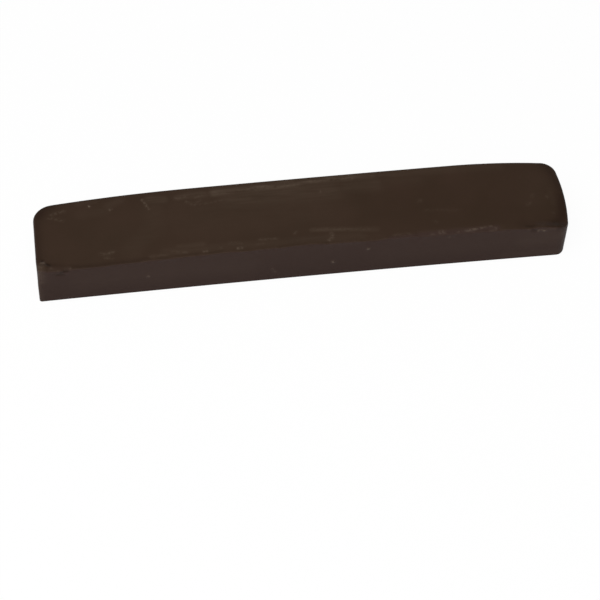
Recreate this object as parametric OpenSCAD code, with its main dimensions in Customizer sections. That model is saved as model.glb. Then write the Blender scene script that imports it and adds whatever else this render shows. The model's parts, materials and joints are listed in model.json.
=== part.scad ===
// Furniture repair wax stick: one solid bar of coloured hard wax, cast in an open mould.
// +Z is up, +X runs along the bar, and the origin lies on the base under the middle of the bar.
// The front wall faces -Y. The four walls and the base were moulded, and the top is the poured face.

/* [Bar] */
// Overall length, with the swell of the right end
bar_length = 80; // [60:0.5:120]
// Width of the bar at the poured face
bar_width = 14; // [10:0.1:20]
// Height from the base to the crest of the poured face
bar_height = 7.15; // [5:0.05:12]
// Lean of the long walls, which draw in towards the base, in degrees
side_draft = 1.5; // [0:0.1:3]
// Lean of the left end wall, in degrees
left_draft = 0; // [0:0.1:3]
// Lean of the right end wall, in degrees
right_draft = 3.7; // [0:0.1:5]
// How far the middle of the bar stands back from its two ends
bow = 0.31; // [0:0.01:1]
// Radius along the edge of the base
base_edge_r = 0.12; // [0.06:0.02:0.4]

/* [Ends] */
// Plan radius of the front left corner along the poured face
front_left_r = 0.8; // [0.7:0.05:3]
// Plan radius of the front left corner along the base, where it is sharper
front_left_base_r = 0.45; // [0.4:0.05:3]
// Plan radius of the front right corner
front_right_r = 1.55; // [1:0.05:3.5]
// Plan radius of the back left corner
back_left_r = 2.8; // [0.8:0.05:3.5]
// Plan radius of the back right corner
back_right_r = 1.9; // [1:0.05:3.5]
// How far the right end swells past its corners
end_swell = 0.68; // [0:0.02:1.2]
// Length of the bar over which that swell grows
end_swell_run = 10; // [5:0.5:15]

/* [Poured face] */
// Fall of the poured face at the left end
left_fall = 1.05; // [0:0.01:2]
// Length of the left end that falls
left_fall_run = 23.5; // [10:0.5:28]
// How far the wax climbs back up the mould in the front left corner
corner_climb = 1.1; // [0:0.05:1.5]
// Length of the left end over which that climb grows
corner_climb_run = 10; // [6:0.5:15]
// Fall of the poured face at the right end
right_fall = 1.26; // [0:0.01:2]
// Length of the right end that falls
right_fall_run = 15.5; // [10:0.5:28]
// Fall of the poured face from its crest line to its long edges
cross_fall = 0.11; // [0:0.01:0.5]
// Radius along the back and end edges of the poured face
lip_r = 0.4; // [0.2:0.05:0.7]
// Radius along the front edge of the poured face, which set sharper
ridge_r = 0.12; // [0.06:0.02:0.5]

/* [Hidden] */
wax_colour = "#392c23";

// Steps that draw each long run, end, corner and rounded edge
run_steps = 40;
end_steps = 8;
corner_steps = 8;
edge_steps = 4;
// Rings of the poured face, as shares of the way from its edge to its middle line
inner_shares = [0.15, 0.35, 0.65];

half_length = bar_length / 2;
half_width = bar_width / 2;
left_x = -half_length;
// The right end is furthest out under its rounded edge, where its lean has already drawn it in
right_tip_inset = (right_fall + lip_r) * tan(right_draft);
right_x = half_length - end_swell + right_tip_inset;

// The middle line stops where the ends of the base and of the poured face fan out
middle_left_x = left_x + half_width;
middle_right_x = right_x - half_width;

quarter = 90;
edge_angles = [for (k = [0:edge_steps]) quarter * k / edge_steps];

function blend(a, b, share) = a + (b - a) * share;
function square_of(x) = x * x;
function at_most_one(x) = min(1, max(0, x));

// A rim entry is [plan point, outward normal, edge radius, place on the middle line].
// It stands for the wall as the mould shaped it, before its lean and before the bar cooled.
function corner(centre, r, from, edge_rs, place) = [
    for (k = [0:corner_steps])
        let (share = k / corner_steps, a = from + quarter * share, n = [cos(a), sin(a)])
        [centre + r * n, n, blend(edge_rs[0], edge_rs[1], share), place]
];

function run(from, to, n, edge_r, steps, places) = [
    for (k = [1:steps - 1])
        let (share = k / steps)
        [blend(from, to, share), n, edge_r, round(blend(places[0], places[1], share))]
];

// The rim with its corners and the four walls between them, counter-clockwise from the front left
function rim_of(left_r) =
    let (
        front_left = [left_x + left_r, left_r - half_width],
        front_right = [right_x - front_right_r, front_right_r - half_width],
        back_right = [right_x - back_right_r, half_width - back_right_r],
        back_left = [left_x + back_left_r, half_width - back_left_r]
    )
    concat(
        corner(front_left, left_r, 180, [lip_r, ridge_r], 0),
        run([front_left.x, -half_width], [front_right.x, -half_width], [0, -1],
            ridge_r, run_steps, [0, run_steps]),
        corner(front_right, front_right_r, 270, [ridge_r, lip_r], run_steps),
        run([right_x, front_right.y], [right_x, back_right.y], [1, 0],
            lip_r, end_steps, [run_steps, run_steps]),
        corner(back_right, back_right_r, 0, [lip_r, lip_r], run_steps),
        run([back_right.x, half_width], [back_left.x, half_width], [0, 1],
            lip_r, run_steps, [run_steps, 0]),
        corner(back_left, back_left_r, 90, [lip_r, lip_r], 0),
        run([left_x, back_left.y], [left_x, front_left.y], [-1, 0],
            lip_r, end_steps, [0, 0])
    );

// The poured face and the base each have a rim, which differ in the front left corner
rim = rim_of(front_left_r);
base_rim = rim_of(front_left_base_r);
rim_n = len(rim);

// A plan point after the bar has bowed and its right end has swelled
function cooled(p) =
    let (
        swell_share = at_most_one((p.x - right_x + end_swell_run) / end_swell_run),
        across_share = p.y / half_width,
        along_share = p.x / half_length
    )
    [p.x + end_swell * swell_share * (1 - square_of(across_share)),
     p.y + bow * (1 / 2 - square_of(along_share))];

// Height of the poured face above a plan point
function face_z(p) =
    let (
        left_share = at_most_one((left_x + left_fall_run - p.x) / left_fall_run),
        right_share = at_most_one((p.x - right_x + right_fall_run) / right_fall_run),
        climb_share = at_most_one((left_x + corner_climb_run - p.x) / corner_climb_run),
        across_share = p.y / half_width,
        front_share = (1 - across_share) / 2
    )
    bar_height - left_fall * square_of(left_share) - right_fall * square_of(right_share)
        - cross_fall * square_of(across_share) + corner_climb * square_of(climb_share * front_share);

// How far a wall has drawn in from the edge of the poured face at a height
function wall_inset(e, z) =
    let (
        end_draft = e[1].x > 0 ? right_draft : left_draft,
        side_share = square_of(e[1].y)
    )
    (bar_height - z) * tan(blend(end_draft, side_draft, side_share));

function solid_point(p, z) = [each cooled(p), z];

// A ring of the rounded edge of the base, which turns from flat at 0 degrees to upright at 90
function base_ring(a) = [
    for (e = base_rim)
        let (z = base_edge_r * (1 - cos(a)))
        solid_point(e[0] - e[1] * (wall_inset(e, z) + base_edge_r * (1 - sin(a))), z)
];

// A ring of the rounded edge of the poured face, which turns from upright at 0 degrees to flat at 90
function lip_plan(e, a) = e[0] - e[1] * e[2] * (1 - cos(a));
function lip_ring(a) = [
    for (e = rim)
        let (z = face_z(lip_plan(e, a)) - e[2] * (1 - sin(a)))
        solid_point(lip_plan(e, a) - e[1] * wall_inset(e, z), z)
];

// The middle lines of the base and of the poured face, and the rings of the poured face around its own
function middle_plan(place) = [blend(middle_left_x, middle_right_x, place / run_steps), 0];
function face_point(p) = solid_point(p, face_z(p));
function inner_ring(share) = [
    for (e = rim) face_point(blend(lip_plan(e, quarter), middle_plan(e[3]), share))
];
keel = [for (place = [0:run_steps]) solid_point(middle_plan(place), 0)];
crest = [for (place = [0:run_steps]) face_point(middle_plan(place))];

// Every triangle is listed clockwise as it is seen from outside
function band(lower, upper) = [
    for (i = [0:rim_n - 1])
        let (j = (i + 1) % rim_n, a = lower * rim_n, b = upper * rim_n)
        each [[a + i, b + i, b + j], [a + i, b + j, a + j]]
];

// The triangles between a ring and a middle line, as they are seen from above
function cap(ring, line) = [
    for (i = [0:rim_n - 1])
        let (j = (i + 1) % rim_n, a = ring * rim_n, m = line + rim[i][3], n = line + rim[j][3])
        each m == n ? [[a + i, m, a + j]] : [[a + i, m, n], [a + i, n, a + j]]
];
function turned_over(triangles) = [for (t = triangles) [t[2], t[1], t[0]]];

module wax_stick() {
    rings = [
        for (a = edge_angles) base_ring(a),
        for (a = edge_angles) lip_ring(a),
        for (share = inner_shares) inner_ring(share)
    ];
    last = len(rings) - 1;
    keel_start = len(rings) * rim_n;
    crest_start = keel_start + len(keel);
    color(wax_colour)
        polyhedron(
            points = [for (r = rings) each r, each keel, each crest],
            faces = [
                each turned_over(cap(0, keel_start)),
                for (r = [0:last - 1]) each band(r, r + 1),
                each cap(last, crest_start)
            ]
        );
}

wax_stick();
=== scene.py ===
import json
import math

import bmesh
import bpy
import numpy as np
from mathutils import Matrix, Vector, kdtree

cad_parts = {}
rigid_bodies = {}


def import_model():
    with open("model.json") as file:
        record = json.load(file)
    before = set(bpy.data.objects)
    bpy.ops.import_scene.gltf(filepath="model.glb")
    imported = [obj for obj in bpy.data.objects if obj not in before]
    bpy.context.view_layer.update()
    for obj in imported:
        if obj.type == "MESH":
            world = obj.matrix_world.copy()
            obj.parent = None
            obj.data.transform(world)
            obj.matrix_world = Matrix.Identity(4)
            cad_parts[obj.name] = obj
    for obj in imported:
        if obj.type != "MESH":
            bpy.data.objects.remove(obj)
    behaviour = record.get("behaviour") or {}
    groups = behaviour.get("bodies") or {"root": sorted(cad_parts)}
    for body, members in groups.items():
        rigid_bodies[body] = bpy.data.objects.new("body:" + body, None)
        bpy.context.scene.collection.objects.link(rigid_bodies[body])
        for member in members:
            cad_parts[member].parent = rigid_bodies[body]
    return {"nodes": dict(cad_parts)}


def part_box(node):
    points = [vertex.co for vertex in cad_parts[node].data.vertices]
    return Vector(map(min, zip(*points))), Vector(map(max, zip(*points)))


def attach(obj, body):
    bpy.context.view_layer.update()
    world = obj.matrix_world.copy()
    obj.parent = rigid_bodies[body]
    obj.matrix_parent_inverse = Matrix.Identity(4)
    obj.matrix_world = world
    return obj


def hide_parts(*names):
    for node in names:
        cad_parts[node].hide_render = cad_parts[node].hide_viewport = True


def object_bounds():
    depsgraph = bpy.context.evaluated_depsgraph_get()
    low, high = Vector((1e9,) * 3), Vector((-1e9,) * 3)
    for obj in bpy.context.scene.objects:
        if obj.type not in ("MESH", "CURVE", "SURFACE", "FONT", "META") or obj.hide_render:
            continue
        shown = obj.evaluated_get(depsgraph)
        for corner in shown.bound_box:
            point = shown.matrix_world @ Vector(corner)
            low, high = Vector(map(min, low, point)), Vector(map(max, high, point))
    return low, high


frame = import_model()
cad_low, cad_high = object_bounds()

# Wax bar: one stick of hard wax, melted with brown pigment, poured into an open mould and knocked out
# cold. The mould left its walls and base smooth and its front edge sharp. The poured top sank at both
# ends, climbed the mould in the front left corner, and was scuffed later, mostly along its front edge.
mm = 0.001
tiny = 0.01 * mm
# The upright corners, by their sides in x and y, the front left one as round as it is at the base
corner_radius = {(-1, -1): 0.45 * mm, (1, -1): 1.55 * mm, (-1, 1): 2.8 * mm, (1, 1): 1.9 * mm}
corner_segments = 8
left_fall, left_run = 1.05 * mm, 23.5 * mm
right_fall, right_run = 1.26 * mm, 15.5 * mm
corner_climb, corner_climb_run = 1.0 * mm, 10 * mm
climbing_strip = 0.8 * mm
station_gap = 1.5 * mm
skin_cell = 0.215 * mm

low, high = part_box("wax_stick")
size = high - low
middle = (low + high) / 2

bpy.ops.object.select_all(action="DESELECT")
bpy.ops.mesh.primitive_cube_add(size=1, location=middle)
bar = bpy.context.object
bar.name = "wax_bar"
bar.scale = size
bpy.ops.object.transform_apply(location=True, rotation=True, scale=True)


def pick(kind, test):
    """Selects the bar's vertices, edges or faces that pass a test, and nothing else."""
    bpy.ops.mesh.select_mode(type={"verts": "VERT", "edges": "EDGE", "faces": "FACE"}[kind])
    bpy.ops.mesh.select_all(action="DESELECT")
    mesh = bmesh.from_edit_mesh(bar.data)
    for part in getattr(mesh, kind):
        part.select_set(test(part))
    mesh.select_flush_mode()
    bmesh.update_edit_mesh(bar.data)


def shift(move, reach, falloff):
    """Moves what is picked, and what lies within reach of it less and less."""
    bpy.ops.transform.translate(
        value=move,
        use_proportional_edit=True,
        proportional_edit_falloff=falloff,
        proportional_size=reach,
    )


def edge_middle(edge):
    """The point halfway along an edge."""
    return (edge.verts[0].co + edge.verts[1].co) / 2


# The mould's upright corners are rounded, each by its own radius
bpy.ops.object.mode_set(mode="EDIT")
for (side_x, side_y), radius in corner_radius.items():
    corner = Vector((middle.x + side_x * size.x / 2, middle.y + side_y * size.y / 2, middle.z))
    pick("edges", lambda edge: (edge_middle(edge) - corner).length < tiny)
    bpy.ops.mesh.bevel(offset=radius, segments=corner_segments, affect="EDGES", clamp_overlap=False)

# The block is cut across where its top will fall
stations = list(np.arange(low.x + station_gap, low.x + left_run, station_gap))
stations += list(np.arange(high.x - right_run, high.x, station_gap))
for x in stations:
    pick("faces", lambda face: True)
    bpy.ops.mesh.bisect(plane_co=(x, 0, 0), plane_no=(1, 0, 0))

# The poured face sinks towards each end, by the square of the way along, and climbs in one corner
pick("verts", lambda vert: vert.co.z < high.z - tiny)
bpy.ops.mesh.hide()
for end_x, fall, run in ((low.x, left_fall, left_run), (high.x, right_fall, right_run)):
    pick("verts", lambda vert: not vert.hide and abs(vert.co.x - end_x) < tiny)
    shift((0, 0, -fall), run, "SHARP")
climb_limit = low.x + climbing_strip
pick("verts", lambda vert: not vert.hide and vert.co.x < climb_limit and vert.co.y < middle.y)
shift((0, 0, corner_climb), corner_climb_run, "SHARP")
bpy.ops.mesh.reveal()
bpy.ops.object.mode_set(mode="OBJECT")


def finish_with(kind, **settings):
    """Adds a modifier to the bar and applies it."""
    modifier = bar.modifiers.new(kind.lower(), kind)
    for name, value in settings.items():
        setattr(modifier, name, value)
    bpy.ops.object.modifier_apply(modifier=modifier.name)


# The block takes an even skin, which is drawn on to the casting and eased over its edges
casting = frame["nodes"]["wax_stick"]
finish_with("REMESH", mode="VOXEL", voxel_size=skin_cell)
finish_with("SHRINKWRAP", target=casting, wrap_method="NEAREST_SURFACEPOINT")
finish_with("SMOOTH", factor=0.5, iterations=3)
finish_with("SHRINKWRAP", target=casting, wrap_method="NEAREST_SURFACEPOINT")
finish_with("SMOOTH", factor=0.3, iterations=1)

edge_lean = 0.35
fine_rows = 4


def on_front_edge(vert):
    """Whether the skin at a vertex faces forwards and up at once, as it does along the front edge."""
    return vert.normal.y < -edge_lean and vert.normal.z > edge_lean


# The front edge is cut finer, because most of the wear is there
bpy.ops.object.mode_set(mode="EDIT")
pick("verts", on_front_edge)
for row in range(fine_rows):
    bpy.ops.mesh.select_more()
bpy.ops.mesh.subdivide(number_cuts=1)
bpy.ops.object.mode_set(mode="OBJECT")
finish_with("SMOOTH", factor=0.3, iterations=1)

# The front edge stands a little higher in some stretches and is scraped down in others:
# where each stretch starts and ends, how far it moves and how far that reaches, in millimetres
edge_moves = (
    (-34.0, -28.0, 0.08, 2.2),
    (-12.6, -11.4, 0.15, 3.2),
    (-6.6, -5.4, 0.12, 3.2),
    (-2.0, 1.2, 0.24, 2.4),
    (8.8, 10.6, -0.16, 1.6),
    (35.0, 38.3, 0.34, 1.6),
    (-38.2, -35.5, -0.16, 1.1),
    (17.0, 29.0, -0.16, 1.1),
)
bpy.ops.object.mode_set(mode="EDIT")
for start_x, end_x, rise, reach in edge_moves:
    pick("verts", lambda vert: start_x * mm < vert.co.x < end_x * mm and on_front_edge(vert))
    shift((0, 0, rise * mm), reach * mm, "SMOOTH")

# A lump of wax stands in the front left corner, and the upright edge below it is rubbed in
lump_place = Vector((-38.9, -6.2, 6.87)) * mm
lump_radius = 0.3 * mm
lump_rise, lump_reach = 0.2 * mm, 0.8 * mm
pick("verts", lambda vert: (vert.co - lump_place).length < lump_radius)
shift((0, 0, lump_rise), lump_reach, "SMOOTH")
rubbed_place = Vector((-39.8, -6.75, 5.5)) * mm
rubbed_radius = 0.4 * mm
rubbed_depth, rubbed_reach = 0.12 * mm, 2.2 * mm
pick("verts", lambda vert: (vert.co - rubbed_place).length < rubbed_radius)
shift((rubbed_depth, 0, 0), rubbed_reach, "SMOOTH")
bpy.ops.object.mode_set(mode="OBJECT")

least_weight = 0.002


def skin_vectors(name):
    """The places or normals of the bar's vertices."""
    flat = np.empty(len(bar.data.vertices) * 3)
    bar.data.vertices.foreach_get(name, flat)
    return flat.reshape(-1, 3)


def facing_up(start, span):
    """How far the skin faces up at each vertex, from 0 to 1 as its normal rises from start by a span."""
    return np.clip((skin_vectors("normal")[:, 2] - start) / span, 0, 1)


def paint_group(name, weights):
    """Paints weights on the bar's vertices as a vertex group."""
    group = bar.vertex_groups.new(name=name)
    for index in np.flatnonzero(weights > least_weight):
        group.add([int(index)], float(weights[index]), "REPLACE")
    return group.name


def ripple(name, width, **settings):
    """Raises and sinks the skin in soft, uneven waves of a width."""
    texture = bpy.data.textures.new(name, "CLOUDS")
    texture.noise_scale = width
    texture.noise_depth = 2
    finish_with("DISPLACE", texture=texture, texture_coords="LOCAL", mid_level=0.5, **settings)


# Small waves along the front edge, and long, faint ones in the poured face.
# The skin's points, and the strokes drawn over them, are in plain millimetres.
edge_zone = 0.9
front_strip_y = -4.5
points = skin_vectors("co") / mm
ridge = kdtree.KDTree(len(points))
for index, vert in enumerate(bar.data.vertices):
    if on_front_edge(vert):
        ridge.insert(points[index], index)
ridge.balance()
ridge_gap = np.full(len(points), edge_zone)
for index in np.flatnonzero(points[:, 1] < front_strip_y):
    ridge_gap[index] = ridge.find(points[index])[2]
edge_group = paint_group("front_edge", np.clip(1 - ridge_gap / edge_zone, 0, 1) ** 2)
face_group = paint_group("poured_face", facing_up(start=0.7, span=0.25))
ripple("edge_waves", width=2.2 * mm, strength=0.18 * mm, vertex_group=edge_group)
ripple("edge_nicks", width=0.6 * mm, strength=0.16 * mm, vertex_group=edge_group)
ripple("face_waves", width=9 * mm, strength=0.12 * mm, vertex_group=face_group)

# The bar's wear, painted light and painted shade, as strokes over its skin: half width, strength from 0
# to 1, then one point or more.
# Crumbs and rubbed wax, which are pale and stand a little proud
crumb_strokes = [
    # along the back of the poured face
    (0.25, 0.13, (-37.6, 4.0, 6.3), (-36.4, 3.5, 6.39), (-35.5, 3.0, 6.46)),
    (0.25, 0.15, (-37.2, 4.6, 6.31), (-36.2, 4.85, 6.36), (-35.2, 5.0, 6.43)),
    (0.2, 0.72, (-31.5, 5.3, 6.65)),
    (0.2, 0.8, (-28.3, 4.15, 6.84)),
    (0.15, 0.32, (-23.5, 5.5, 6.99), (-22.6, 3.3, 7.04)),
    (0.3, 0.1, (-18.4, 5.0, 7.09), (-16.9, 5.3, 7.09)),
    (0.2, 0.13, (-17.0, 4.2, 7.11), (-15.8, 3.3, 7.13), (-14.8, 4.2, 7.11)),
    (0.2, 0.1, (-15.6, 4.8, 7.1), (-14.6, 5.2, 7.1)),
    (0.18, 0.08, (-15, 3.3, 7.12), (-11.6, 3.7, 7.12)),
    (0.35, 0.06, (-12.8, 5.0, 7.1), (-10, 5.4, 7.09), (-8.5, 5.5, 7.08)),
    (0.35, 0.1, (-7.4, 5.5, 7.08), (-4.8, 5.75, 7.08), (-3, 5.5, 7.09)),
    (0.3, 0.1, (-2.4, 5.6, 7.09), (0.2, 5.6, 7.09)),
    (0.25, 0.12, (2, 6.05, 7.07), (4.2, 5.95, 7.08)),
    (0.22, 0.22, (3.3, 3.75, 7.12)),
    (0.25, 0.14, (5, 6.1, 7.07), (8.4, 5.95, 7.07)),
    # in its front left corner
    (0.2, 0.22, (-39.4, -6.35, 7.0), (-38.95, -6.4, 7.0)),
    (0.16, 0.75, (-39.3, -5.5, 6.88), (-38.95, -5.4, 6.87), (-38.75, -5.55, 6.9)),
    (0.2, 0.1, (-37.9, -6.4, 6.82), (-37.2, -6.9, 6.79), (-36.8, -7.05, 6.7)),
    (0.2, 0.16, (-34.95, -6.7, 6.67)),
    # along its front
    (0.3, 0.14, (-30.3, -4.5, 6.75), (-29.8, -4.7, 6.76)),
    (0.25, 0.16, (-29.7, -5.4, 6.76), (-29.2, -5.5, 6.78)),
    (0.28, 0.18, (-29.3, -4.6, 6.79), (-28.5, -4.35, 6.82)),
    (0.22, 0.12, (-28.7, -5.8, 6.79)),
    (0.3, 0.08, (-23.2, -6.1, 6.97), (-20.8, -6.05, 7.03)),
    (0.25, 0.1, (-19.8, -5.7, 7.05), (-17.7, -6.05, 7.06)),
    (0.2, 0.22, (-15.2, -6.2, 7.06), (-14.8, -6.15, 7.06)),
    (0.2, 0.14, (-13, -5.8, 7.07), (-12.6, -5.85, 7.07)),
    (0.25, 0.1, (-11.3, -5.0, 7.09), (-9.4, -5.1, 7.09)),
    (0.2, 0.36, (-10.2, -6.2, 7.06), (-9.6, -6.15, 7.06)),
    (0.22, 0.16, (-9.5, -5.1, 7.09)),
    (0.2, 0.08, (-7.2, -5.75, 7.07), (-6.4, -5.7, 7.07)),
    (0.25, 0.12, (-6.8, -4.8, 7.09), (-4.4, -4.9, 7.09)),
    (0.2, 0.14, (-1.5, -4.2, 7.11), (-1.3, -3.9, 7.11)),
    (0.35, 0.06, (1.2, -3.8, 7.11), (5, -4.1, 7.1), (9.4, -4.7, 7.09)),
    (0.22, 0.24, (3.9, -4.8, 7.09), (4, -5.6, 7.07), (3.35, -6.2, 7.06)),
    (0.3, 0.075, (13.2, -6.3, 7.06), (15.4, -6.35, 7.06)),
    (0.25, 0.07, (19.4, -4.2, 7.11), (19.9, -4.6, 7.1)),
    # on and just under the right half of the front edge
    (0.22, 0.15, (18.6, -6.7, 7.05), (19, -6.75, 7.04)),
    (0.3, 0.26, (20, -6.5, 7.05), (20.5, -6.45, 7.05)),
    (0.22, 0.2, (21.4, -6.92, 6.25)),
    (0.2, 0.3, (22.7, -6.7, 7.05), (23.1, -6.65, 7.05)),
    (0.22, 0.34, (23.7, -6.6, 7.05), (25.3, -6.45, 7.04)),
    (0.18, 0.24, (25.3, -6.4, 7.03), (26.9, -6.28, 7.01)),
    (0.18, 0.2, (27.5, -6.15, 6.98), (28.5, -6.3, 6.94), (28.4, -6.8, 6.92), (27.5, -6.95, 6.9)),
    (0.2, 0.26, (33.4, -7.05, 6.4)),
    (0.2, 0.5, (34.7, -7.05, 6.05), (35.8, -7.05, 5.95)),
    (0.15, 0.1, (36.3, -7.0, 6.2), (37.4, -7.0, 6.1)),
    (0.25, 0.14, (38.3, -6.95, 5.6), (38.4, -6.9, 4.6)),
    # over the right half of the poured face
    (0.35, 0.12, (17.9, 0.1, 7.15)),
    (0.25, 0.05, (18.3, -1.9, 7.14), (23.6, -2.5, 7.13)),
    (0.3, 0.1, (34, -2.1, 6.63), (34.3, -1.8, 6.62)),
    (0.3, 0.08, (34.9, -0.5, 6.55), (35.2, -0.1, 6.53)),
    (0.25, 0.08, (37.1, -0.9, 6.3), (37.2, -0.5, 6.3)),
    (0.25, 0.06, (37.6, -3.9, 6.19)),
    # on the front wall
    (0.2, 0.6, (-23.7, -6.87, 3.42)),
    (0.15, 0.24, (-5.2, -6.72, 2.6), (-4.7, -6.72, 1.7)),
    (0.22, 1.0, (4, -6.75, 2.9)),
    (0.2, 0.9, (9.2, -6.82, 5.18)),
    # on the back wall and the end walls
    (0.2, 0.7, (-17.5, 7.0, 3.1)),
    (0.2, 0.5, (11.6, 7.05, 4.6)),
    (0.15, 0.3, (24.8, 6.9, 2.6), (25.6, 6.9, 1.9)),
    (0.2, 0.5, (-40, 1.4, 2.4)),
    (0.18, 0.4, (39.7, 2.2, 3.4)),
]
# Nicks and dents, pressed in and darkened with painted shade
dent_and_shade_strokes = [
    # in the front left corner
    (0.25, 0.8, (-39.0, -4.8, 6.76)),
    (0.25, 1.0, (-38.4, -5.65, 6.82), (-38.05, -5.85, 6.8)),
    (0.14, 0.6, (-38.38, -7.0, 6.86)),
    (0.24, 0.6, (-37.0, -7.07, 5.85), (-36.2, -7.07, 5.75)),
    (0.2, 0.6, (-36.5, -7.07, 6.25), (-36.1, -7.07, 6.35)),
    (0.22, 0.8, (-35.95, -7.07, 6.42), (-35.5, -7.07, 6.46)),
    # in the crease behind the front edge
    (0.2, 0.2, (-34.6, -6.65, 6.66), (-31, -6.75, 6.68), (-28.6, -6.8, 6.77), (-24.6, -6.7, 6.92)),
    (0.18, 0.15, (-22.2, -6.6, 7.0), (-20.6, -6.6, 7.02)),
    (0.18, 0.2, (-18.2, -6.3, 7.06), (-15.9, -6.35, 7.06)),
    (0.16, 0.3, (-14.4, -6.45, 7.05), (-12.4, -6.4, 7.05)),
    (0.18, 0.2, (-4, -6.55, 7.05), (2, -6.65, 7.05), (3.3, -6.6, 7.05)),
    # in the front right corner
    (0.25, 0.45, (33.1, -6.45, 6.62), (34.4, -6.55, 6.47)),
    (0.27, 0.5, (33.9, -7.04, 6.22), (34.3, -7.04, 6.12)),
    (0.7, 0.45, (37.7, -5.8, 6.14), (38.2, -6.6, 6.1)),
]
# The pale film that blooms on old wax, which also carries painted sheen and painted light
film_and_sheen_strokes = [
    # broadly over the poured face, as film and as painted sheen
    (7, 0.05, (-31, -2, 6.7), (-22, -2, 7.03)),
    (2.4, 0.11, (-25.5, -4.2, 6.92), (-22, -0.5, 7.03), (-22, 3.2, 7.03)),
    (7, 0.095, (-15, 1.5, 7.14), (1.5, 1.5, 7.13)),
    (2.8, 0.21, (-10, 4, 7.11), (4.5, 4, 7.11)),
    (3, 0.05, (35.5, -1, 6.5), (36, 2, 6.45)),
    (0.6, 0.07, (37.8, 1, 6.2), (37.9, -2, 6.15)),
    # along its back
    (0.5, 0.1, (-33.2, 6.0, 6.54), (-30.5, 6.1, 6.68)),
    (1.3, 0.1, (-32.5, 3.8, 6.6), (-29.5, 3.8, 6.78)),
    (0.9, 0.14, (-28.7, 4.9, 6.81), (-26.9, 5.8, 6.86)),
    (0.8, 0.28, (-22.4, 5.3, 7.02), (-20.3, 5.0, 7.07)),
    (0.8, 0.24, (-18, 5.1, 7.08), (-16.6, 5.4, 7.08), (-14.2, 5.3, 7.09)),
    (0.85, 0.4, (-12.6, 5.5, 7.09), (-7, 5.5, 7.09), (-4.8, 5.65, 7.08), (-0.2, 5.6, 7.09)),
    (0.5, 0.3, (-3.2, 6.2, 7.07), (-0.6, 6.3, 7.06)),
    (0.7, 0.36, (-0.2, 5.7, 7.09), (2, 6.1, 7.07), (4, 6.1, 7.07)),
    (0.75, 0.44, (4.6, 6.15, 7.07), (8.4, 6.2, 7.07)),
    (1.6, 0.18, (7.5, 4.4, 7.12), (11.5, 4.3, 7.12)),
    (0.75, 0.36, (8.4, 6.2, 7.07), (11.4, 6.25, 7.07)),
    (0.6, 0.16, (11.4, 6.2, 7.07), (14.5, 6.0, 7.08)),
    (1.4, 0.08, (13, 5.0, 7.1), (18, 4.6, 7.1)),
    (0.8, 0.17, (14.5, 6.0, 7.08), (24, 6.1, 7.07)),
    (0.8, 0.12, (24, 6.0, 7.07), (31, 5.9, 6.9)),
    # along its front
    (0.9, 0.13, (-21, -5.5, 7.06), (-3, -5.6, 7.07), (8, -5.8, 7.07)),
    (0.55, 0.2, (-18.8, -4.8, 7.06), (-15.2, -4.7, 7.09)),
    (0.5, 0.2, (1.1, -3.75, 7.11), (6, -4.3, 7.1)),
    (0.5, 0.18, (6, -4.3, 7.1), (10.6, -4.8, 7.09)),
    # down the front left corner, as painted light
    (0.9, 0.33, (-39.6, -6.8, 6.9), (-39.6, -6.95, 4.8)),
    (0.5, 0.3, (-39.85, -6.6, 4.8), (-39.88, -6.65, 0.6)),
    # on the front wall, as painted light
    (2.6, 0.08, (-33, -7.05, 3.8), (-9, -6.8, 3.8)),
    (2.6, 0.05, (12, -6.8, 3.8), (30, -7, 4)),
    (1.0, 0.1, (30, -7, 1.0), (38, -6.9, 1.0)),
    (2, 0.13, (33, -7, 3.9), (39, -6.8, 4.2)),
    # on the back wall and the end walls
    (2.6, 0.09, (-36, 7, 3.6), (-12, 7.1, 4.2)),
    (2.4, 0.07, (0, 7.1, 3), (34, 7, 3.8)),
    (2.4, 0.1, (-40, 3.5, 3), (-40, -4.5, 3.6)),
    (2.4, 0.08, (39.6, -4, 3), (39.7, 3.5, 3.2)),
]
# Painted shade, a darker brown where the lips turn away from the light and in the crease behind the
# front edge
painted_shade_strokes = [
    # the lips at the left end and the back
    (0.8, 0.5, (-39.6, 5, 6.0), (-39.6, -4.9, 6.6)),
    (1.0, 0.8, (-39.3, 4.6, 6.05), (-38.4, 6.2, 6.1), (-37, 6.7, 6.15)),
    (0.6, 0.4, (-37, 6.7, 6.15), (-33, 6.9, 6.5), (-28, 7, 6.8)),
    (0.4, 0.3, (-28, 7.05, 6.8), (-20, 7.1, 7.0), (-8, 7.15, 7.0)),
    # the lip at the right end and the front right corner
    (0.8, 0.6, (37.6, 6.5, 5.9), (38.4, 5.8, 5.85), (39.4, 2.5, 5.85), (39.7, -0.5, 5.85)),
    (1.0, 0.85, (39.7, -0.5, 5.9), (39.1, -4, 5.95), (38.3, -6, 6.1)),
    (1.1, 0.8, (36.8, -6.4, 6.15), (38.6, -6.2, 5.95)),
    (0.8, 0.28, (32.5, -6.1, 6.65), (36.5, -6.1, 6.25)),
    # the left part of the crease behind the front edge
    (0.5, 0.4, (-37.8, -5.9, 6.79), (-36, -6.25, 6.72)),
    (0.42, 0.36, (-36, -6.3, 6.72), (-32.7, -6.55, 6.65), (-30.7, -6.65, 6.69), (-28.2, -6.6, 6.79)),
    (0.38, 0.34, (-28.2, -6.6, 6.79), (-24.8, -6.4, 6.93), (-23.4, -6.45, 6.96)),
]
# The scraped stretches of the front edge, which look like the walls
scrape_strokes = [
    (0.35, 0.35, (-38.0, -6.6, 6.84), (-36.6, -6.75, 6.74), (-35.2, -6.95, 6.66)),
    (0.4, 0.9, (12.5, -6.8, 7.03), (17, -6.65, 7.04)),
    (0.5, 1.0, (17, -6.6, 7.05), (24, -6.65, 7.04), (28.6, -6.5, 6.95)),
]
crumb_height, dent_depth = 0.1 * mm, 0.12 * mm
# Stands in for the squared length of a stroke that has one point
least_square = 1e-5


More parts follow.
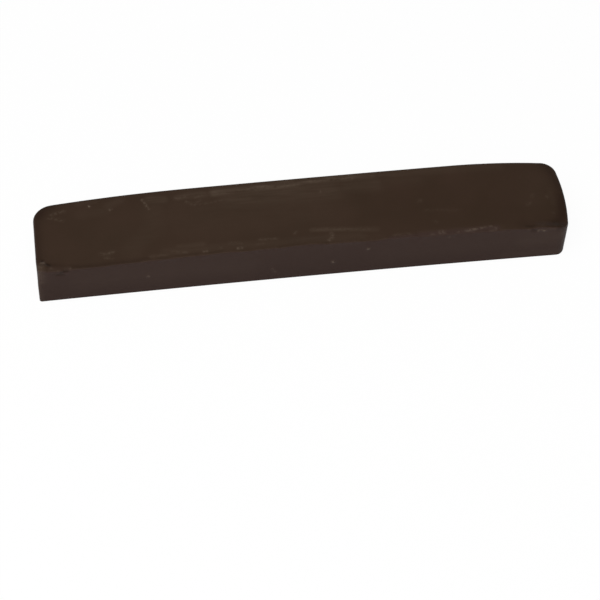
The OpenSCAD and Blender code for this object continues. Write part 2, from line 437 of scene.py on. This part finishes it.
def stroke_weights(strokes):
    """How strongly the strokes mark each vertex of the skin, from 0 to 1."""
    weights = np.zeros(len(points))
    for half_width, strength, *line in strokes:
        ends = line[1:] or line
        for start, end in zip(np.array(line), np.array(ends)):
            along = end - start
            share = np.clip((points - start) @ along / max(along @ along, least_square), 0, 1)
            gap = np.linalg.norm(points - start - share[:, None] * along, axis=1)
            weights = np.maximum(weights, strength * np.exp(-((gap / half_width) ** 2)))
    return weights


# The wear and painted light and shade are kept on the skin: crumbs in red, dents with painted shade in
# green, film with painted sheen and light in blue, and painted shade on the lips and crease in alpha
points = skin_vectors("co") / mm
crumbs = stroke_weights(crumb_strokes)
dents_and_shade = stroke_weights(dent_and_shade_strokes)
poured_share = facing_up(start=0.45, span=0.4) * (1 - stroke_weights(scrape_strokes))
wear_and_painted_light = bar.data.attributes.new("wear_and_painted_light", "FLOAT_COLOR", "POINT")
wear_and_painted_light_channels = [crumbs, dents_and_shade, stroke_weights(film_and_sheen_strokes), stroke_weights(painted_shade_strokes)]
wear_and_painted_light.data.foreach_set("color", np.column_stack(wear_and_painted_light_channels).ravel())
poured = bar.data.attributes.new("poured", "FLOAT", "POINT")
poured.data.foreach_set("value", poured_share)
crumb_group = paint_group("crumbs", crumbs)
finish_with("DISPLACE", strength=crumb_height, mid_level=0, vertex_group=crumb_group)
dent_group = paint_group("dents_and_shade", dents_and_shade)
finish_with("DISPLACE", strength=-dent_depth, mid_level=0, vertex_group=dent_group)
bar.vertex_groups.clear()
bpy.ops.object.shade_smooth()


def linear(hex_colour):
    """An sRGB hex colour as linear RGBA."""
    parts = [int(hex_colour[i:i + 2], 16) / 255 for i in (1, 3, 5)]
    return [c / 12.92 if c <= 0.04045 else ((c + 0.055) / 1.055) ** 2.4 for c in parts] + [1]


def add_node(tree, kind, inputs=(), **settings):
    """Adds a node with its settings, and sets or links its inputs."""
    node = tree.nodes.new(kind)
    for name, value in settings.items():
        setattr(node, name, value)
    for socket, value in dict(inputs).items():
        if isinstance(value, bpy.types.NodeSocket):
            tree.links.new(value, node.inputs[socket])
        else:
            node.inputs[socket].default_value = value
    return node


# Pigmented hard wax, poured and set: a dull satin brown with faint clouds of pigment, under a pale
# film that is even where it is thin and streaked where it is thick; the same pale colour also paints
# sheen over the poured face and light on the walls. The moulded walls are cooler, with painted shade
# darkening them towards the base. Painted shade darkens the lips, the crease behind the front edge and
# the dents. Rubbed crumbs are pale, and the grain breaks them up. Real grain is finer
# than a picture of the whole bar can hold, so it is drawn coarser.
cloud_width = 7 * mm
grain_width, grain_depth = 0.4 * mm, 0.02 * mm
streak_length, streak_width = 4 * mm, 0.5 * mm
wall_foot, wall_head = 0.5 * mm, 6.5 * mm
# How much of the film is left on average
film_cover = 0.5
pigment_dark, pigment_light = linear("#31251b"), linear("#3b2c23")
# Painted shade on the lips and in the crease behind the front edge
painted_shade_brown = linear("#291c15")
# The wall's foot colour is painted shade, darker towards the base
shaded_wall_foot_brown, wall_head_brown = linear("#342621"), linear("#382a25")
# The film's pale colour, which also paints sheen and light
film_and_sheen_pale = linear("#6b5d50")
crumb_pale = linear("#786a5c")
# Painted shade in the dents and the crease
painted_dent_shade = linear("#21170f")
# The sockets of a Mix node between two colours, and the one that the mixture comes out of
mix_share, mix_first, mix_second, mixture = 0, 6, 7, 2

wax = bpy.data.materials.new("cast_hard_wax")
wax.use_nodes = True
wax_nodes = wax.node_tree
shader = wax_nodes.nodes["Principled BSDF"]
# The dusty skin reflects less than clean wax of this index would
shader.inputs["IOR"].default_value = 1.44
shader.inputs["Specular IOR Level"].default_value = 0.07
place = add_node(wax_nodes, "ShaderNodeTexCoord").outputs["Object"]
clouds = add_node(
    wax_nodes, "ShaderNodeTexNoise", {"Vector": place, "Scale": 1 / cloud_width, "Detail": 3}
)
grain = add_node(
    wax_nodes, "ShaderNodeTexNoise", {"Vector": place, "Scale": 1 / grain_width, "Detail": 2}
)
along_bar = add_node(
    wax_nodes,
    "ShaderNodeMapping",
    {"Vector": place, "Scale": (1 / streak_length, 1 / streak_width, 1 / streak_width)},
)
streaks = add_node(
    wax_nodes, "ShaderNodeTexNoise", {"Vector": along_bar.outputs[0], "Scale": 1, "Detail": 2}
)
painted_wear_and_light = add_node(wax_nodes, "ShaderNodeAttribute", attribute_name="wear_and_painted_light")
marks = add_node(wax_nodes, "ShaderNodeSeparateColor", {"Color": painted_wear_and_light.outputs["Color"]}).outputs
on_top = add_node(wax_nodes, "ShaderNodeAttribute", attribute_name="poured")

# The wax itself, on the poured face and on the walls, with painted shade on the lips and crease and
# towards the base of the walls
pigment = add_node(
    wax_nodes,
    "ShaderNodeMix",
    {mix_share: clouds.outputs["Fac"], mix_first: pigment_dark, mix_second: pigment_light},
    data_type="RGBA",
)
# The poured face, with painted shade on its lips and in the crease
face = add_node(
    wax_nodes,
    "ShaderNodeMix",
    {mix_share: painted_wear_and_light.outputs["Alpha"], mix_first: pigment.outputs[mixture], mix_second: painted_shade_brown},
    data_type="RGBA",
)
height = add_node(wax_nodes, "ShaderNodeSeparateXYZ", {"Vector": place})
up_wall = add_node(
    wax_nodes,
    "ShaderNodeMapRange",
    {"Value": height.outputs["Z"], "From Min": wall_foot, "From Max": wall_head},
)
# The walls, darker towards the base as painted shade
wall = add_node(
    wax_nodes,
    "ShaderNodeMix",
    {mix_share: up_wall.outputs[0], mix_first: shaded_wall_foot_brown, mix_second: wall_head_brown},
    data_type="RGBA",
)
skin = add_node(
    wax_nodes,
    "ShaderNodeMix",
    {
        mix_share: on_top.outputs["Fac"],
        mix_first: wall.outputs[mixture],
        mix_second: face.outputs[mixture],
    },
    data_type="RGBA",
)

# The film with its painted sheen and light, then the crumbs, then the dents' painted shade over it
rubbed_thin = add_node(
    wax_nodes, "ShaderNodeMath", {0: film_cover, 1: marks["Blue"]}, operation="SUBTRACT"
)
left_thick = add_node(
    wax_nodes, "ShaderNodeMath", {0: film_cover, 1: marks["Blue"]}, operation="ADD"
)
patches = add_node(
    wax_nodes,
    "ShaderNodeMapRange",
    {
        "Value": streaks.outputs["Fac"],
        "From Min": 0.3,
        "From Max": 0.7,
        "To Min": rubbed_thin.outputs[0],
        "To Max": left_thick.outputs[0],
    },
)
# How much film, painted sheen and painted light each point takes
film_and_sheen = add_node(
    wax_nodes, "ShaderNodeMath", {0: marks["Blue"], 1: patches.outputs[0]}, operation="MULTIPLY"
)
hazed_and_lit = add_node(
    wax_nodes,
    "ShaderNodeMix",
    {mix_share: film_and_sheen.outputs[0], mix_first: skin.outputs[mixture], mix_second: film_and_sheen_pale},
    data_type="RGBA",
)
broken = add_node(
    wax_nodes,
    "ShaderNodeMapRange",
    {"Value": grain.outputs["Fac"], "From Min": 0.35, "From Max": 0.6},
)
flecks = add_node(
    wax_nodes, "ShaderNodeMath", {0: marks["Red"], 1: broken.outputs[0]}, operation="MULTIPLY"
)
rubbed = add_node(
    wax_nodes,
    "ShaderNodeMix",
    {mix_share: flecks.outputs[0], mix_first: hazed_and_lit.outputs[mixture], mix_second: crumb_pale},
    data_type="RGBA",
)
# Painted shade darkens the dents
nicked_and_shaded = add_node(
    wax_nodes,
    "ShaderNodeMix",
    {mix_share: marks["Green"], mix_first: rubbed.outputs[mixture], mix_second: painted_dent_shade},
    data_type="RGBA",
)
wax_nodes.links.new(nicked_and_shaded.outputs[mixture], shader.inputs["Base Color"])

# The grain varies the gloss and stands in faint relief
gloss = add_node(
    wax_nodes,
    "ShaderNodeMapRange",
    {"Value": grain.outputs["Fac"], "From Min": 0.3, "From Max": 0.7, "To Min": 0.44, "To Max": 0.56},
)
wax_nodes.links.new(gloss.outputs[0], shader.inputs["Roughness"])
relief = add_node(
    wax_nodes,
    "ShaderNodeBump",
    {"Height": grain.outputs["Fac"], "Strength": 0.25, "Distance": grain_depth},
)
wax_nodes.links.new(relief.outputs[0], shader.inputs["Normal"])
bar.data.materials.append(wax)

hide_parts("wax_stick")
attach(bar, "root")

# Studio: a sheet of white paper under the bar that turns up into a low wall all round, in a dim room,
# with one large soft lamp above the front. Its sizes and places are in metres.
sheet_size = 4
wall_height = 0.7
bpy.ops.object.select_all(action="DESELECT")
bpy.ops.mesh.primitive_plane_add(size=sheet_size, location=(0, 0, low.z - tiny))
floor = bpy.context.object
floor.name = "floor"
bpy.ops.object.mode_set(mode="EDIT")
bpy.ops.mesh.select_mode(type="EDGE")
bpy.ops.mesh.select_all(action="SELECT")
bpy.ops.mesh.extrude_edges_move(TRANSFORM_OT_translate={"value": (0, 0, wall_height)})
bpy.ops.object.mode_set(mode="OBJECT")
bpy.ops.object.transform_apply(location=True, rotation=True, scale=True)

# White paper, which is seen as white whatever light falls on it, and still takes the bar's shadow
plain_white = 0.95
paper = bpy.data.materials.new("white_paper")
paper.use_nodes = True
paper_nodes = paper.node_tree
paper_nodes.nodes.clear()
ray = add_node(paper_nodes, "ShaderNodeLightPath").outputs
in_view = add_node(
    paper_nodes,
    "ShaderNodeMath",
    {0: ray["Is Camera Ray"], 1: ray["Is Glossy Ray"]},
    operation="MAXIMUM",
)
seen = add_node(
    paper_nodes,
    "ShaderNodeMath",
    {0: in_view.outputs[0], 1: ray["Is Transmission Ray"]},
    operation="MAXIMUM",
)
white_share = add_node(
    paper_nodes, "ShaderNodeMath", {0: seen.outputs[0], 1: plain_white}, operation="MULTIPLY"
)
sheet = add_node(paper_nodes, "ShaderNodeBsdfDiffuse", {"Color": linear("#f7f7f7")})
glow = add_node(paper_nodes, "ShaderNodeEmission", {"Color": linear("#ffffff"), "Strength": 1})
mixed = add_node(
    paper_nodes,
    "ShaderNodeMixShader",
    {0: white_share.outputs[0], 1: sheet.outputs[0], 2: glow.outputs[0]},
)
add_node(paper_nodes, "ShaderNodeOutputMaterial", {"Surface": mixed.outputs[0]})
floor.data.materials.append(paper)

# The room lights every side a little
room_strength = 0.16
world = bpy.data.worlds.new("dim_room")
bpy.context.scene.world = world
world.use_nodes = True
room_nodes = world.node_tree
room_nodes.nodes.clear()
room = add_node(
    room_nodes, "ShaderNodeBackground", {"Color": linear("#ffffff"), "Strength": room_strength}
)
add_node(room_nodes, "ShaderNodeOutputWorld", {"Surface": room.outputs[0]})

# The lamp is square and faces the bar, and its power in watts comes from how bright its face is
lamp_size = 0.5
lamp_place = Vector((-0.12, -0.2, 0.47))
lamp_radiance = 4.1
bpy.ops.object.select_all(action="DESELECT")
bpy.ops.object.light_add(
    type="AREA", location=lamp_place, rotation=(-lamp_place).to_track_quat("-Z", "Y").to_euler()
)
lamp = bpy.context.object
lamp.name = "soft_lamp"
lamp.data.size = lamp_size
lamp.data.energy = lamp_radiance * math.pi * lamp_size ** 2

# Camera: the view is down on to the bar from in front, turned a little past square to it,
# through a long lens that hardly narrows the far end.
picture_px = 600
focal_px = 2550
look_down = math.radians(49.274)
turn = math.radians(6.892)
distance = 383.95 * mm
bar_at_px = (301.39, 227.69)
clip_factor = 100

bpy.ops.object.select_all(action="DESELECT")
bpy.ops.object.camera_add(rotation=(math.pi / 2 - look_down, 0, -turn))
camera = bpy.context.object
camera.name = "camera"
camera.data.lens = camera.data.sensor_width * focal_px / picture_px
camera.data.clip_start = distance / clip_factor
camera.data.clip_end = distance * clip_factor
bpy.context.view_layer.update()
camera_axes = camera.matrix_world.to_3x3()
right, up, back = (camera_axes @ Vector(axis) for axis in ((1, 0, 0), (0, 1, 0), (0, 0, 1)))
off_right, off_down = ((at - picture_px / 2) / focal_px for at in bar_at_px)
camera.location = (cad_low + cad_high) / 2 + distance * (back - off_right * right + off_down * up)
bpy.context.scene.camera = camera
bpy.context.scene.view_settings.view_transform = "Standard"
